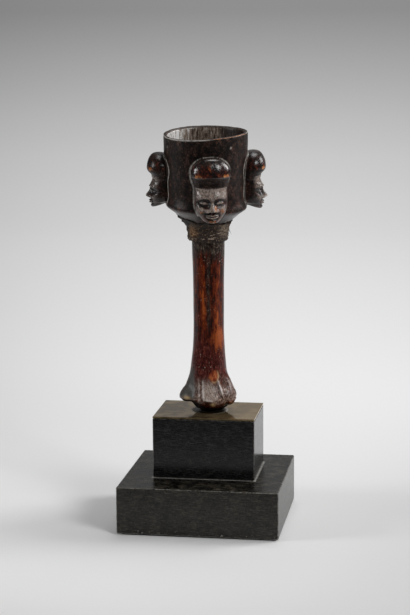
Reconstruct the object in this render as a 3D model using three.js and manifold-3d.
// A carved wooden drinking bowl with four heads round its wall, set by a tenon into the open end of
// a long bone, with a hide collar over the joint. The bone stands on a square post that rises from
// a display plinth of two blocks, and lifts off it.
// Millimetres, +Z up. The origin is on the ground under the middle of the lower block, -Y is the front.

import * as THREE from 'three';
import { mergeVertices } from 'three/addons/utils/BufferGeometryUtils.js';
import Module from 'manifold-3d';

const wasm = await Module();
wasm.setup();

// Driving dimensions

const GAP = 0.3; // kept between pieces that touch
const DEGREE = Math.PI / 180;

// The plinth: two blocks, a plate on the upper one and felt under the lower one
const FELT = { thickness: 1.0, inset: 3.0, corner: 3.0 };
const LOWER = { width: 136, depth: 124, top: 41.0 };
const UPPER = { width: 86.6, depth: 62.5, x: 0.4, y: 3.6, top: 92.4 };
const PLATE_THICKNESS = 1.5;
const BLOCK_EDGE = 0.6; // chamfer along every edge of the blocks
const PLATE_EDGE = 0.3;

// The post: square above the lower block, round below it
const POST = { side: 6.0, top: 130.0, studRadius: 3.0, studBottom: 4.0, tipChamfer: 1.0 };
const POST_PLAY = 0.3; // on each side of the post in every square hole
const CLAMP_RECESS = { radius: 11.0, top: 12.8 };
const WASHER = { radius: 9.0, bore: 3.4, thickness: 1.5 };
const NUT = { acrossFlats: 10.0, height: 5.0, bore: 3.3 };
const SCREW = { headRadius: 4.5, headHeight: 3.2, shankRadius: 2.2, top: 66.0, tip: 5.0, slot: 1.2 };
const SCREW_RECESS = { radius: 5.5, top: 9.0 };
const SCREW_SPREAD = { x: 30.0, y: 20.0 }; // from the middle of the upper block

// The cup is turned a little on the plinth, and its bowl leans forward and a touch to the left
const CUP_TURN = 9 * DEGREE;
const LEAN_FORWARD = 5.0 * DEGREE;
const LEAN_LEFT = 0.3 * DEGREE;
const NECK = { x: -0.8, z: 252.0 }; // the point that the bowl leans about

// The bone: height, half width to the left and half width to the right, up its outer face
const BONE_SIDES = [
  [104.8, 24.8, 22.8],
  [107.4, 25.0, 23.9],
  [110.2, 24.0, 23.4],
  [113.0, 22.1, 22.1],
  [116.5, 19.9, 20.4],
  [121.0, 18.0, 18.6],
  [128.0, 16.0, 16.1],
  [137.0, 14.8, 15.0],
  [149.0, 13.5, 14.1],
  [165.0, 12.7, 13.6],
  [190.0, 12.6, 13.7],
  [212.0, 12.7, 13.9],
  [232.0, 13.3, 14.4],
  [250.2, 13.6, 14.6],
];
// Under the foot: radius, height at the right and the rear, extra height at the left and in front
const BONE_UNDERSIDE = [
  [7.0, 94.5, 0.2, 1.4],
  [10.0, 94.9, 1.8, 2.3],
  [14.0, 96.7, 4.0, 2.4],
  [18.5, 99.2, 3.4, 1.6],
  [22.4, 102.0, 1.2, 0.5],
];
const SHAFT_DEPTH = 0.88; // depth over width
const FOOT_DEPTH = 0.74;
const FOOT_BLEND = { low: 108.0, high: 140.0 }; // heights between which one depth passes into the other
const BONE_SEGMENTS = 44;
const MARROW = { radius: 9.5, bottom: 150.0, taper: 6.0 };
const SOCKET = { radius: 6.8, top: 134.0 };
const BUSH = { radius: 6.5, bottom: 94.9, top: 132.0 };

// The bowl, from its seat on the bone up its outer face: radius, height above the neck
const BOWL_UNDERSIDE = [
  [15.2, 0.0],
  [18.2, 4.2],
  [22.2, 8.8],
  [27.0, 13.2],
  [32.0, 17.0],
];
const BOWL_WALL = [
  [33.8, 18.8],
  [33.9, 20.6],
  [33.1, 24.5],
  [32.5, 30.0],
  [32.6, 37.0],
  [33.3, 46.0],
  [34.4, 57.0],
  [35.1, 68.0],
  [35.2, 79.1],
];
const BOWL_RIM = [
  [34.8, 80.0],
  [33.7, 80.3],
  [32.6, 79.9],
];
const BOWL_SEGMENTS = 52;
const BOWL_INSIDE = [
  [32.0, 78.4],
  [31.5, 66.0],
  [30.3, 50.0],
  [29.2, 34.0],
  [28.2, 27.0],
  [25.6, 21.4],
  [20.8, 17.8],
  [13.0, 15.8],
  [0.0, 15.2],
];
// The rim isn't cut square: how much it rises to the right, falls in front and twists, at its radius
const RIM_SWAY = { right: 0.9, front: -0.6, twist: 0.5, from: 30.0, radius: 35.0 };
// The keel under the wall is carved lower, and lower still to the right
const KEEL_SWAY = { drop: -0.6, slope: -0.05, full: 10.0, fade: 22.0, end: 48.0 };
const TENON = { length: 32.0, rootRadius: 6.0, tipRadius: 4.6 };
const PACKING = { bottom: 216.0, top: 249.0, radius: 9.2 };

// The heads, carved in relief from the wall: direction from the front towards the right,
// height of the chin above the neck, height from chin to top, and how much deeper than drawn below
const HEADS = [
  { turn: 6 * DEGREE, chin: 11.8, tall: 53.8, deep: 1.0 },
  { turn: 98 * DEGREE, chin: 14.4, tall: 50.0, deep: 1.06 },
  { turn: 188 * DEGREE, chin: 14.4, tall: 51.0, deep: 1.0 },
  { turn: 266 * DEGREE, chin: 17.2, tall: 46.6, deep: 1.0 },
];
const HEAD_AXIS = 32.6; // distance of a head's back from the bowl's axis
const HEAD_BURIED = 1.9; // how deep the back of a head reaches into the wall
// Up a head: height above the chin, half width, reach in front, reach behind
const HEAD_ROWS = [
  [2.4, 0.0, 6.0, 6.0],
  [1.2, 4.4, 9.8, 1.6],
  [0.5, 7.0, 12.0, -2.0],
  [1.2, 8.4, 13.1, -6.0],
  [2.9, 9.5, 13.4, -6.0],
  [4.6, 10.4, 13.1, -6.0],
  [6.2, 11.3, 13.7, -6.0],
  [7.8, 12.0, 13.7, -6.0],
  [9.6, 12.6, 13.3, -6.0],
  [11.4, 13.1, 13.3, -6.0],
  [13.6, 13.4, 13.4, -6.0],
  [15.8, 13.5, 13.3, -6.0],
  [17.4, 13.4, 13.3, -6.0],
  [19.0, 13.4, 14.2, -6.0],
  [22.5, 13.4, 14.3, -6.0],
  [27.4, 13.5, 13.5, -6.0],
  [28.4, 14.3, 13.9, -6.0],
  [32.0, 15.3, 15.6, -6.0],
  [36.5, 16.2, 16.8, -6.0],
  [41.0, 16.1, 16.6, -6.0],
  [45.0, 14.4, 15.6, -4.0],
  [48.4, 11.0, 13.9, -1.0],
  [50.6, 6.4, 11.6, 2.6],
  [51.6, 0.0, 7.6, 7.6],
];
const HEAD_SEGMENTS = 26;
const JAW_RISE = 4.6; // how much higher the jaw is at the wall than at the chin
const JAW_ROWS_BELOW = 9.0;
const CHIN_REACH = 13.0;
const COLUMN_PULL = 0.35; // how much the columns of a head are drawn together at its front
const NOSE = { top: 18.4, tip: 10.8, base: 9.4, halfWidth: 3.7, reach: 3.4 };
const EYE = { x: 5.6, z: 16.2, halfWidth: 3.4, halfHeight: 2.2, depth: 0.8 };
const LIPS = { z: 6.6, halfWidth: 5.2, halfHeight: 2.0, reach: 1.0 };

// The hide collar: height, outer half width, up its outer face, and its oval bore
const COLLAR_OUTSIDE = [
  [240.3, 15.4],
  [242.4, 16.0],
  [246.0, 16.6],
  [250.0, 17.3],
  [254.0, 18.2],
  [259.0, 19.2],
];
const COLLAR_CENTRE = 0.3;
const COLLAR_BORE = { halfWidth: 14.8, halfDepth: 13.3 };
const COLLAR_DEPTH = 0.92; // outer depth over outer width
const COLLAR_SEGMENTS = 36;

// The twine: three turns round the collar's lower edge
const TWINE = { diameter: 0.7, loops: 3, pitch: 1.3, bottom: 242.0, steps: 24, sides: 6, start: 2.4 };

// Colours and finishes
const BLACKENED_WOOD = { color: 0x1c1513, roughness: 0.35, metalness: 0 };
const WORN_BONE = { color: 0x5a2a18, roughness: 0.35, metalness: 0 };
const DRIED_HIDE = { color: 0x3a2c20, roughness: 0.85, metalness: 0 };
const PALE_THREAD = { color: 0x8c7a66, roughness: 0.8, metalness: 0 };
const DARK_RESIN = { color: 0x2a1e16, roughness: 0.6, metalness: 0 };
const EBONISED_WOOD = { color: 0x171717, roughness: 0.5, metalness: 0 };
const DARK_BRASS = { color: 0x3a3226, roughness: 0.25, metalness: 0.6 };
const BRIGHT_BRASS = { color: 0xb08d4c, roughness: 0.35, metalness: 1 };
const ZINCED_STEEL = { color: 0x9a9a98, roughness: 0.4, metalness: 1 };
const BLACK_FELT = { color: 0x0e0e0e, roughness: 1, metalness: 0 };

// Joining and cutting solids

function solid(geometry) {
  const bare = geometry.clone();
  bare.deleteAttribute('normal');
  bare.deleteAttribute('uv');
  const merged = mergeVertices(bare, 1e-4);
  const corners = merged.index.array;
  const faces = [];
  for (let i = 0; i < corners.length; i += 3) {
    const [a, b, c] = corners.slice(i, i + 3);
    if (a !== b && b !== c && c !== a) {
      faces.push(a, b, c);
    }
  }
  const mesh = new wasm.Mesh({
    numProp: 3,
    vertProperties: Float32Array.from(merged.attributes.position.array),
    triVerts: Uint32Array.from(faces),
  });
  return new wasm.Manifold(mesh);
}

function surface(body) {
  const mesh = body.getMesh();
  const geometry = new THREE.BufferGeometry();
  geometry.setAttribute('position', new THREE.BufferAttribute(mesh.vertProperties, 3));
  geometry.setIndex(new THREE.BufferAttribute(mesh.triVerts, 1));
  return geometry;
}

function join(first, ...others) {
  return surface(others.reduce((body, other) => body.add(solid(other)), solid(first)));
}

function cut(first, ...others) {
  return surface(others.reduce((body, other) => body.subtract(solid(other)), solid(first)));
}

// Shapes

function turned(profile, segments) {
  const points = profile.map(([radius, height]) => new THREE.Vector2(radius, height));
  return new THREE.LatheGeometry(points, segments).rotateX(Math.PI / 2);
}

function rod(radius, bottom, top, segments) {
  const height = top - bottom;
  const geometry = new THREE.CylinderGeometry(radius, radius, height, segments).rotateX(Math.PI / 2);
  return geometry.translate(0, 0, bottom + height / 2);
}

function bar(side, bottom, top) {
  const height = top - bottom;
  return new THREE.BoxGeometry(side, side, height).translate(0, 0, bottom + height / 2);
}

// A block with the same small chamfer along all twelve edges
function block(width, depth, bottom, top, edge) {
  const x = width / 2;
  const y = depth / 2;
  const outline = new THREE.Shape([
    new THREE.Vector2(-x + edge, -y),
    new THREE.Vector2(x - edge, -y),
    new THREE.Vector2(x, -y + edge),
    new THREE.Vector2(x, y - edge),
    new THREE.Vector2(x - edge, y),
    new THREE.Vector2(-x + edge, y),
    new THREE.Vector2(-x, y - edge),
    new THREE.Vector2(-x, -y + edge),
  ]);
  const geometry = new THREE.ExtrudeGeometry(outline, {
    depth: top - bottom - 2 * edge,
    bevelThickness: edge,
    bevelSize: edge,
    bevelOffset: -edge,
    bevelSegments: 1,
  });
  return geometry.translate(0, 0, bottom + edge);
}

function roundedSheet(width, depth, radius, bottom, thickness) {
  const x = width / 2 - radius;
  const y = depth / 2 - radius;
  const outline = new THREE.Shape();
  outline.absarc(x, y, radius, 0, Math.PI / 2);
  outline.absarc(-x, y, radius, Math.PI / 2, Math.PI);
  outline.absarc(-x, -y, radius, Math.PI, 1.5 * Math.PI);
  outline.absarc(x, -y, radius, 1.5 * Math.PI, 2 * Math.PI);
  const options = { depth: thickness, bevelEnabled: false, curveSegments: 6 };
  return new THREE.ExtrudeGeometry(outline, options).translate(0, 0, bottom);
}

// Value in a list of rows sorted by their first number, on straight lines between the rows
function between(rows, at, column) {
  const last = rows.length - 1;
  if (at <= rows[0][0]) {
    return rows[0][column];
  }
  if (at >= rows[last][0]) {
    return rows[last][column];
  }
  const next = rows.findIndex((row) => row[0] > at);
  const [low, high] = [rows[next - 1], rows[next]];
  return low[column] + ((high[column] - low[column]) * (at - low[0])) / (high[0] - low[0]);
}

// Moves every vertex of a geometry to where a function of its place puts it
function reshape(geometry, move) {
  const place = geometry.attributes.position;
  const point = new THREE.Vector3();
  for (let i = 0; i < place.count; i += 1) {
    point.fromBufferAttribute(place, i);
    move(point, i);
    place.setXYZ(i, point.x, point.y, point.z);
  }
  return geometry;
}

// The bowl with its tenon, its rim cut on a slope

const BOWL_OUTSIDE = [...BOWL_UNDERSIDE, ...BOWL_WALL].map(([radius, height]) => [height, radius]);

// How far the uneven keel moves a point up or down
function keelShift(x, z) {
  const { drop, slope, full, fade, end } = KEEL_SWAY;
  const below = THREE.MathUtils.smoothstep(z, 0, full);
  const above = 1 - THREE.MathUtils.smoothstep(z, fade, end);
  return (drop + slope * x) * below * above;
}

function bowl() {
  const profile = [
    [0, -TENON.length],
    [TENON.tipRadius, -TENON.length],
    [TENON.rootRadius, 0],
    ...BOWL_UNDERSIDE,
    ...BOWL_WALL,
    ...BOWL_RIM,
    ...BOWL_INSIDE,
  ];
  const { right, front, twist, from, radius } = RIM_SWAY;
  const top = BOWL_RIM[1][1];
  return reshape(turned(profile, BOWL_SEGMENTS), (point) => {
    const { x, y, z } = point;
    const rim = (right * x - front * y) / radius - (2 * twist * x * y) / radius ** 2;
    point.z += keelShift(x, z) + rim * THREE.MathUtils.smoothstep(z, from, top);
  });
}

// How far the features of a face stand out from the plain front of a head
function faceRelief(x, height) {
  const across = Math.max(0, 1 - Math.abs(x) / NOSE.halfWidth);
  const down = THREE.MathUtils.clamp((NOSE.top - height) / (NOSE.top - NOSE.tip), 0, 1);
  const under = THREE.MathUtils.clamp((height - NOSE.base) / (NOSE.tip - NOSE.base), 0, 1);
  const nose = NOSE.reach * across * down * under;
  const eyeX = (Math.abs(x) - EYE.x) / EYE.halfWidth;
  const eyeZ = (height - EYE.z) / EYE.halfHeight;
  const eye = EYE.depth * Math.max(0, 1 - eyeX * eyeX - eyeZ * eyeZ);
  const lipX = x / LIPS.halfWidth;
  const lipZ = (height - LIPS.z) / LIPS.halfHeight;
  const lips = LIPS.reach * Math.max(0, 1 - lipX * lipX - lipZ * lipZ);
  return nose - eye + lips;
}

// One head, facing -Y, with its columns drawn together at the front and its back inside the wall
function head({ chin, tall, deep }) {
  const stretch = tall / HEAD_ROWS.at(-1)[0];
  const profile = HEAD_ROWS.map(([height, halfWidth]) => [halfWidth, height]);
  return reshape(turned(profile, HEAD_SEGMENTS), (point, i) => {
    const [height, halfWidth, front, behind] = HEAD_ROWS[i % HEAD_ROWS.length];
    const even = Math.atan2(point.x, -point.y);
    const turn = even - COLUMN_PULL * Math.sin(even);
    const x = halfWidth * Math.sin(turn);
    const relief = Math.cos(turn) > 0 ? faceRelief(x, height) : 0;
    const plain = (front + behind) / 2 + ((front - behind) / 2) * Math.cos(turn);
    const reach = deep * (plain + relief);
    const jaw = 1 - THREE.MathUtils.smoothstep(height, 0, JAW_ROWS_BELOW);
    const back = THREE.MathUtils.clamp(1 - reach / CHIN_REACH, 0, 1);
    const z = chin + stretch * height + JAW_RISE * jaw * back;
    const wall = between(BOWL_OUTSIDE, z, 1) - HEAD_BURIED;
    const deepest = -Math.sqrt(Math.max(0, wall * wall - x * x));
    point.set(x, Math.min(-HEAD_AXIS - reach, deepest), z);
  });
}

function carvedCup() {
  const heads = HEADS.map((one) => head(one).rotateZ(one.turn));
  return join(bowl(), ...heads);
}

// The bone, with its marrow canal open at the top and a drilled socket in the foot

function bone() {
  const outside = BONE_SIDES.map(([height, left, right]) => [(left + right) / 2, height]);
  const profile = [
    [0, SOCKET.top],
    [SOCKET.radius, SOCKET.top],
    ...BONE_UNDERSIDE.map(([radius, height]) => [radius, height]),
    ...outside,
    [MARROW.radius, BONE_SIDES.at(-1)[0]],
    [MARROW.radius, MARROW.bottom + MARROW.taper],
    [MARROW.radius / 2, MARROW.bottom],
    [0, MARROW.bottom],
  ];
  const firstUnder = 2;
  const firstSide = firstUnder + BONE_UNDERSIDE.length;
  const lastSide = firstSide + BONE_SIDES.length - 1;
  return reshape(turned(profile, BONE_SEGMENTS), (point, i) => {
    const row = i % profile.length;
    const turn = Math.atan2(point.x, -point.y);
    const right = Math.sin(turn);
    const front = Math.cos(turn);
    if (row > firstUnder && row <= lastSide) {
      const height = profile[row][1];
      const foot = 1 - THREE.MathUtils.smoothstep(height, FOOT_BLEND.low, FOOT_BLEND.high);
      const depth = THREE.MathUtils.lerp(SHAFT_DEPTH, FOOT_DEPTH, foot);
      point.y *= depth;
    }
    if (row >= firstUnder && row < firstSide) {
      const [, , leftLift, frontLift] = BONE_UNDERSIDE[row - firstUnder];
      point.z += leftLift * Math.max(0, -right) + frontLift * Math.max(0, front);
    }
    if (row >= firstSide && row <= lastSide) {
      const [, left, rightWidth] = BONE_SIDES[row - firstSide];
      point.x = right * (right < 0 ? left : rightWidth);
    }
  });
}

// The collar: an oval ring, cut to the underside of the leaning bowl

function neckFrame() {
  const lean = new THREE.Euler(LEAN_FORWARD, -LEAN_LEFT, 0);
  const place = new THREE.Matrix4().makeRotationFromEuler(lean);
  return place.setPosition(NECK.x, 0, NECK.z);
}

function seatCutter() {
  const [widest, highest] = [40, 24];
  const profile = [
    [0, -GAP],
    ...BOWL_UNDERSIDE.map(([radius, height]) => [radius + GAP, height - GAP]),
    [widest, highest],
    [0, highest],
  ];
  const cutter = reshape(turned(profile, BOWL_SEGMENTS), (point) => {
    point.z += keelShift(point.x, point.z);
  });
  return cutter.applyMatrix4(neckFrame());
}

function collar() {
  const [bottom, top] = [COLLAR_OUTSIDE[0][0], COLLAR_OUTSIDE.at(-1)[0]];
  const profile = [[0, bottom], ...COLLAR_OUTSIDE.map(([height, radius]) => [radius, height]), [0, top]];
  const outside = turned(profile, COLLAR_SEGMENTS);
  outside.scale(1, COLLAR_DEPTH, 1).translate(COLLAR_CENTRE, 0, 0);
  const bore = rod(1, bottom - 1, top + 1, COLLAR_SEGMENTS);
  bore.scale(COLLAR_BORE.halfWidth, COLLAR_BORE.halfDepth, 1).translate(COLLAR_CENTRE, 0, 0);
  return cut(outside, bore, seatCutter());
}

// The twine: one unbroken tube, wound round the collar with a straight stretch at both ends

function twinePath() {
  const points = [];
  const total = TWINE.loops * TWINE.steps;
  const clearance = GAP + 0.1 + TWINE.diameter / 2;
  for (let i = 0; i <= total; i += 1) {
    const turn = TWINE.start + (2 * Math.PI * i) / TWINE.steps;
    const z = TWINE.bottom + (TWINE.pitch * i) / TWINE.steps;
    const halfWidth = between(COLLAR_OUTSIDE, z, 1) + clearance;
    const halfDepth = between(COLLAR_OUTSIDE, z, 1) * COLLAR_DEPTH + clearance;
    const x = COLLAR_CENTRE + halfWidth * Math.sin(turn);
    points.push(new THREE.Vector3(x, -halfDepth * Math.cos(turn), z));
  }
  const lead = points[0].clone().sub(points[1]).setLength(TWINE.diameter);
  const tail = points[total].clone().sub(points[total - 1]).setLength(TWINE.diameter);
  return [points[0].clone().add(lead), ...points, points[total].clone().add(tail)];
}

// Smallest gap between any two turns of the twine
function leastGap(path) {
  const half = TWINE.steps / 2;
  let least = Infinity;
  for (let i = 0; i < path.length; i += 1) {
    for (let j = i + half; j < path.length; j += 1) {
      least = Math.min(least, path[i].distanceTo(path[j]) - TWINE.diameter);
    }
  }
  return least;
}

function twine() {
  const path = twinePath();
  console.log(`collar_twine: least gap to itself ${leastGap(path).toFixed(2)} mm`);
  const { sides } = TWINE;
  const up = new THREE.Vector3(0, 0, 1);
  const places = [];
  path.forEach((point, i) => {
    const [before, after] = [path[Math.max(i - 1, 0)], path[Math.min(i + 1, path.length - 1)]];
    const along = after.clone().sub(before).normalize();
    const outward = new THREE.Vector3().crossVectors(along, up).normalize();
    const upward = new THREE.Vector3().crossVectors(outward, along);
    for (let side = 0; side < sides; side += 1) {
      const angle = (2 * Math.PI * side) / sides;
      const corner = point.clone().addScaledVector(outward, (TWINE.diameter / 2) * Math.cos(angle));
      corner.addScaledVector(upward, (TWINE.diameter / 2) * Math.sin(angle));
      places.push(corner.x, corner.y, corner.z);
    }
  });
  const faces = [];
  for (let ring = 0; ring < path.length - 1; ring += 1) {
    for (let side = 0; side < sides; side += 1) {
      const a = ring * sides + side;
      const b = ring * sides + ((side + 1) % sides);
      faces.push(a, a + sides, b, b, a + sides, b + sides);
    }
  }
  const last = (path.length - 1) * sides;
  for (let side = 1; side < sides - 1; side += 1) {
    faces.push(0, side, side + 1);
    faces.push(last, last + side + 1, last + side);
  }
  const geometry = new THREE.BufferGeometry();
  geometry.setAttribute('position', new THREE.Float32BufferAttribute(places, 3));
  geometry.setIndex(faces);
  return geometry;
}

// Packing round the tenon, and the square-holed bush in the foot

function packing() {
  const clearTenon = turned(
    [
      [0, -TENON.length - GAP],
      [TENON.tipRadius + GAP, -TENON.length - GAP],
      [TENON.rootRadius + GAP, 0],
      [TENON.rootRadius + GAP, 6],
      [0, 6],
    ],
    24,
  ).applyMatrix4(neckFrame());
  return cut(rod(PACKING.radius, PACKING.bottom, PACKING.top, 32), clearTenon);
}

function bush() {
  const hole = bar(POST.side + 2 * POST_PLAY, BUSH.bottom - 1, BUSH.top + 1);
  return cut(rod(BUSH.radius, BUSH.bottom, BUSH.top, 32), hole);
}

// The post, its washer and nut

function post() {
  const shoulder = LOWER.top + GAP;
  const shank = bar(POST.side, shoulder, POST.top - POST.tipChamfer);
  const half = POST.side / 2;
  const tip = new THREE.CylinderGeometry(
    (half - POST.tipChamfer) * Math.SQRT2,
    half * Math.SQRT2,
    POST.tipChamfer,
    4,
  );
  tip.rotateY(Math.PI / 4).rotateX(Math.PI / 2);
  tip.translate(0, 0, POST.top - POST.tipChamfer / 2);
  return join(shank, tip, rod(POST.studRadius, POST.studBottom, shoulder + 2, 24));
}

function washer() {
  const top = CLAMP_RECESS.top - GAP;
  const bottom = top - WASHER.thickness;
  return cut(rod(WASHER.radius, bottom, top, 24), rod(WASHER.bore, bottom - 1, top + 1, 20));
}

function nut() {
  const top = CLAMP_RECESS.top - WASHER.thickness - 2 * GAP;
  const bottom = top - NUT.height;
  const acrossCorners = NUT.acrossFlats / Math.cos(Math.PI / 6);
  return cut(rod(acrossCorners / 2, bottom, top, 6), rod(NUT.bore, bottom - 1, top + 1, 20));
}

// A wood screw, pointing up, with a slotted pan head
function screw() {
  const under = SCREW_RECESS.top - GAP;
  const bottom = under - SCREW.headHeight;
  const profile = [
    [0, bottom],
    [SCREW.headRadius - 1, bottom],
    [SCREW.headRadius, bottom + 1],
    [SCREW.headRadius, under],
    [SCREW.shankRadius, under],
    [SCREW.shankRadius, SCREW.top - SCREW.tip],
    [0, SCREW.top],
  ];
  const slot = new THREE.BoxGeometry(3 * SCREW.headRadius, SCREW.slot, 2).translate(0, 0, bottom);
  return cut(turned(profile, 16), slot);
}

// The plinth's blocks, plate and felt

const screwPlaces = [
  [-1, -1],
  [1, -1],
  [1, 1],
  [-1, 1],
].map(([right, rear]) => [UPPER.x + right * SCREW_SPREAD.x, UPPER.y + rear * SCREW_SPREAD.y]);

function lowerBlock() {
  const bottom = FELT.thickness + GAP;
  const body = block(LOWER.width, LOWER.depth, bottom, LOWER.top, BLOCK_EDGE);
  const holes = [
    rod(CLAMP_RECESS.radius, bottom - 1, CLAMP_RECESS.top, 36).translate(UPPER.x, UPPER.y, 0),
    rod(POST.studRadius + GAP, bottom - 1, LOWER.top + 1, 20).translate(UPPER.x, UPPER.y, 0),
  ];
  for (const [x, y] of screwPlaces) {
    holes.push(rod(SCREW_RECESS.radius, bottom - 1, SCREW_RECESS.top, 20).translate(x, y, 0));
    holes.push(rod(SCREW.shankRadius + GAP, bottom - 1, LOWER.top + 1, 14).translate(x, y, 0));
  }
  return cut(body, ...holes);
}

function squareHole(bottom, top) {
  const hole = bar(POST.side + 2 * POST_PLAY, bottom, top);
  return hole.rotateZ(CUP_TURN).translate(UPPER.x, UPPER.y, 0);
}

function upperBlock() {
  const bottom = LOWER.top + GAP;
  const body = block(UPPER.width, UPPER.depth, bottom, UPPER.top, BLOCK_EDGE);
  body.translate(UPPER.x, UPPER.y, 0);
  const holes = screwPlaces.map(([x, y]) =>
    rod(SCREW.shankRadius + GAP, bottom - 1, SCREW.top + 2, 14).translate(x, y, 0),
  );
  return cut(body, squareHole(bottom - 1, UPPER.top + 1), ...holes);
}

const plateTop = UPPER.top + GAP + PLATE_THICKNESS;

function topPlate() {
  const body = block(UPPER.width, UPPER.depth, UPPER.top + GAP, plateTop, PLATE_EDGE);
  body.translate(UPPER.x, UPPER.y, 0);
  return cut(body, squareHole(UPPER.top, plateTop + 1));
}

function felt() {
  const width = LOWER.width - 2 * FELT.inset;
  const depth = LOWER.depth - 2 * FELT.inset;
  return roundedSheet(width, depth, FELT.corner, 0, FELT.thickness);
}

// Assembly

function piece(name, geometry, finish) {
  const mesh = new THREE.Mesh(geometry, new THREE.MeshStandardMaterial(finish));
  mesh.name = name;
  return mesh;
}

const leaningBowl = new THREE.Group();
leaningBowl.add(piece('carved_cup', carvedCup(), BLACKENED_WOOD));
leaningBowl.applyMatrix4(neckFrame());

const cup = new THREE.Group();
cup.add(
  leaningBowl,
  piece('bone_shaft', bone(), WORN_BONE),
  piece('hide_collar', collar(), DRIED_HIDE),
  piece('collar_twine', twine(), PALE_THREAD),
  piece('tenon_packing', packing(), DARK_RESIN),
  piece('pin_socket', bush(), BRIGHT_BRASS),
);
cup.position.set(UPPER.x, UPPER.y, 0);
cup.rotation.z = CUP_TURN;

const clamp = new THREE.Group();
clamp.add(
  piece('mount_pin', post(), BRIGHT_BRASS),
  piece('clamp_washer', washer(), ZINCED_STEEL),
  piece('clamp_nut', nut(), ZINCED_STEEL),
);
clamp.position.set(UPPER.x, UPPER.y, 0);
clamp.rotation.z = CUP_TURN;

const plinth = new THREE.Group();
plinth.add(
  piece('base_felt', felt(), BLACK_FELT),
  piece('lower_block', lowerBlock(), EBONISED_WOOD),
  piece('upper_block', upperBlock(), EBONISED_WOOD),
  piece('top_plate', topPlate(), DARK_BRASS),
);
screwPlaces.forEach(([x, y], i) => {
  const blockScrew = piece(`block_screw_${i + 1}`, screw(), ZINCED_STEEL);
  blockScrew.position.set(x, y, 0);
  plinth.add(blockScrew);
});

const model = new THREE.Group();
model.add(plinth, clamp, cup);

export default model;
